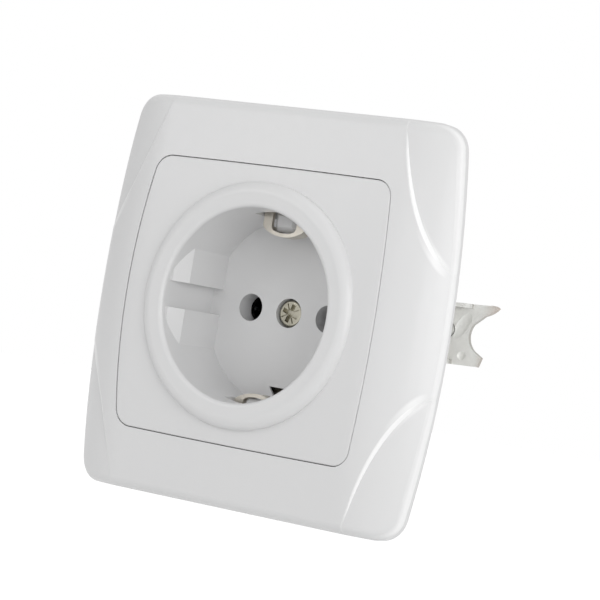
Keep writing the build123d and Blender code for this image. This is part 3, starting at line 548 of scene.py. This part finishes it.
def add_thread(made, side):
    """Ridge wound round the shank, fading out at both ends."""
    turns = (SCREW_END - THREAD_END_GAP - THREAD_START) / SCREW_PITCH - 1
    count = int(turns * THREAD_STEPS)
    last = count + THREAD_STEPS
    rows = []
    for index in range(last + 1):
        angle = 2 * math.pi * index / THREAD_STEPS
        climb = SCREW_PITCH * index / THREAD_STEPS
        faded = max(0.0, 1 - min(index, last - index) / THREAD_STEPS)
        crest = SCREW_R - THREAD_DEPTH * faded
        rows.append([
            made.verts.new(
                about_screw(side, radius, angle, THREAD_START + share * SCREW_PITCH + climb)
            )
            for radius, share in ((ROOT_R, 0.0), (crest, THREAD_CREST[0]), (crest, THREAD_CREST[1]))
        ])
    for index in range(count):
        near, far = rows[index], rows[index + 1]
        over_near, over_far = rows[index + THREAD_STEPS], rows[index + THREAD_STEPS + 1]
        made.faces.new((near[0], far[0], far[1], near[1]))
        made.faces.new((near[1], far[1], far[2], near[2]))
        made.faces.new((near[2], far[2], over_far[0], over_near[0]))


def add_turned(made, profile, side):
    """Surface turned about the screw's axis from (radius, depth) points, closed at both ends."""
    rings = [
        [
            made.verts.new(about_screw(side, radius, 2 * math.pi * step / TURNED_STEPS, depth))
            for step in range(TURNED_STEPS)
        ]
        for radius, depth in profile
    ]
    for first, second in zip(rings, rings[1:]):
        for step in range(TURNED_STEPS):
            after = (step + 1) % TURNED_STEPS
            made.faces.new((first[step], first[after], second[after], second[step]))
    made.faces.new(rings[0])
    made.faces.new(rings[-1])


def add_half_head(made, side, half):
    """One of the two halves of the head beside its slot; half is 1 above it and -1 below."""
    edge = SLOT_WIDTH / 2
    reach = math.acos(edge / (SCREW_HEAD_R - SLOT_CORNER_IN))
    rings = []
    for radius, depth in (
        (SCREW_HEAD_R - HEAD_FRONT_EDGE, SCREW_HEAD_FRONT),
        (SCREW_HEAD_R, SCREW_HEAD_FRONT + HEAD_FRONT_EDGE),
        (SCREW_HEAD_R, SCREW_HEAD_FRONT + SLOT_DEPTH),
    ):
        ring = []
        for step in range(HALF_HEAD_STEPS + 1):
            angle = -reach + 2 * reach * step / HALF_HEAD_STEPS
            x = CLAW_X + radius * math.sin(angle)
            z = CLAW_Z + half * max(radius * math.cos(angle), edge)
            ring.append(made.verts.new((side * x, depth, side * z)))
        rings.append(ring)
    for first, second in zip(rings, rings[1:]):
        for step in range(HALF_HEAD_STEPS):
            made.faces.new((first[step], first[step + 1], second[step + 1], second[step]))
        made.faces.new((first[-1], first[0], second[0], second[-1]))
    made.faces.new(rings[0])


def linked_mesh(label, made, material):
    """Object in the scene from a finished bmesh."""
    mesh = bpy.data.meshes.new(label)
    made.to_mesh(mesh)
    made.free()
    mesh.materials.append(material)
    piece = bpy.data.objects.new(label, mesh)
    bpy.context.scene.collection.objects.link(piece)
    return piece


def make_claw_screw(label, side, body):
    made = bmesh.new()
    add_thread(made, side)
    head_back = SCREW_HEAD_FRONT + SCREW_HEAD_H
    add_turned(made, [
        (SCREW_HEAD_R, SCREW_HEAD_FRONT + SLOT_DEPTH),
        (SCREW_HEAD_R, head_back - HEAD_BACK_EDGE),
        (SCREW_HEAD_R - HEAD_BACK_EDGE, head_back),
        (SCREW_R, head_back + HEAD_NECK),
        (SCREW_R, THREAD_START - SHANK_RUNOUT),
        (ROOT_R, THREAD_START),
        (ROOT_R, SCREW_END - TIP_FOOT),
        (ROOT_R, SCREW_END - TIP_EDGE),
        (ROOT_R - TIP_BEVEL, SCREW_END),
    ], side)
    for half in (-1, 1):
        add_half_head(made, side, half)
    bmesh.ops.recalc_face_normals(made, faces=made.faces)
    screw = linked_mesh(label, made, SCREW_ZINC)
    for face in screw.data.polygons:
        face.use_smooth = True
    screw.data.set_sharp_from_angle(angle=SHARP_ABOVE)
    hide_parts(label.replace("_threaded", ""))
    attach(screw, body)


make_claw_screw("claw_screw_right_threaded", 1, "screw_right")
make_claw_screw("claw_screw_left_threaded", -1, "screw_left")


# Studio

def studio_surface(name):
    """Pale matt surface that the camera and reflections see as white where no shadow falls."""
    material, tree, shader, coordinates = start_material(name)
    mottle = noise(tree, coordinates["Object"], FLOOR_MOTTLE_SCALE)
    darker = tuple(part * FLOOR_MOTTLE for part in FLOOR_COLOUR)
    tree.links.new(blended(tree, mottle, FLOOR_COLOUR, darker), shader.inputs["Base Color"])
    shader.inputs["Roughness"].default_value = 0.9
    shader.inputs["Specular IOR Level"].default_value = 0.1
    path = node(tree, "LightPath").outputs
    seen = maths(
        tree, "MAXIMUM", path["Is Camera Ray"],
        maths(tree, "MAXIMUM", path["Is Glossy Ray"], path["Is Transmission Ray"]),
    )
    shader.inputs["Emission Color"].default_value = (1.0, 1.0, 1.0, 1.0)
    tree.links.new(product(tree, seen, FLOOR_GLOW), shader.inputs["Emission Strength"])
    return material


def make_floor():
    """Wide pale floor some way under the object."""
    made = bmesh.new()
    made.faces.new([
        made.verts.new((x * FLOOR_REACH, y * FLOOR_REACH, FLOOR_Z))
        for x, y in ((-1, -1), (1, -1), (1, 1), (-1, 1))
    ])
    floor = linked_mesh("studio_floor", made, studio_surface("pale_floor"))


def make_world():
    """Even pale surroundings, white where the camera or a reflection looks."""
    world = bpy.data.worlds.new("studio_surroundings")
    bpy.context.scene.world = world
    world.use_nodes = True
    tree = world.node_tree
    tree.nodes.clear()
    output = node(tree, "OutputWorld")
    back = node(tree, "Background")
    back.inputs["Color"].default_value = (1.0, 1.0, 1.0, 1.0)
    path = node(tree, "LightPath").outputs
    in_gloss = product(tree, path["Is Glossy Ray"], SURROUNDINGS_IN_GLOSS)
    seen = maths(tree, "MAXIMUM", path["Is Camera Ray"], in_gloss)
    seen = maths(tree, "MAXIMUM", seen, path["Is Transmission Ray"])
    strength = maths(tree, "MAXIMUM", seen, SURROUNDINGS_LIGHT)
    tree.links.new(strength, back.inputs["Strength"])
    tree.links.new(back.outputs["Background"], output.inputs["Surface"])


def softbox(name, place, width, height, power):
    """Rectangular lamp that faces the origin."""
    lamp = bpy.data.lights.new(name, "AREA")
    lamp.shape = "RECTANGLE"
    lamp.size, lamp.size_y, lamp.energy = width, height, power
    holder = bpy.data.objects.new(name, lamp)
    holder.location = place
    holder.rotation_mode = "QUATERNION"
    holder.rotation_quaternion = (-Vector(place)).to_track_quat("-Z", "Y")
    bpy.context.scene.collection.objects.link(holder)


def make_camera():
    camera = bpy.data.cameras.new("studio_camera")
    camera.sensor_width = SENSOR
    camera.lens = CAMERA_FOCAL_PX / IMAGE_PX * SENSOR
    camera.clip_start, camera.clip_end = CAMERA_CLIP
    holder = bpy.data.objects.new("studio_camera", camera)
    bpy.context.scene.collection.objects.link(holder)
    up = CAMERA_RIGHT.cross(CAMERA_AHEAD).normalized()
    right = CAMERA_AHEAD.cross(up).normalized()
    turn = Matrix((right, up, -CAMERA_AHEAD.normalized())).transposed().to_4x4()
    holder.matrix_world = Matrix.Translation(CAMERA_AT) @ turn
    bpy.context.scene.camera = holder


make_camera()
make_world()
make_floor()
for name, (place, width, height, power) in SOFTBOXES.items():
    softbox(name, place, width, height, power)

bpy.context.scene.view_settings.view_transform = "Standard"
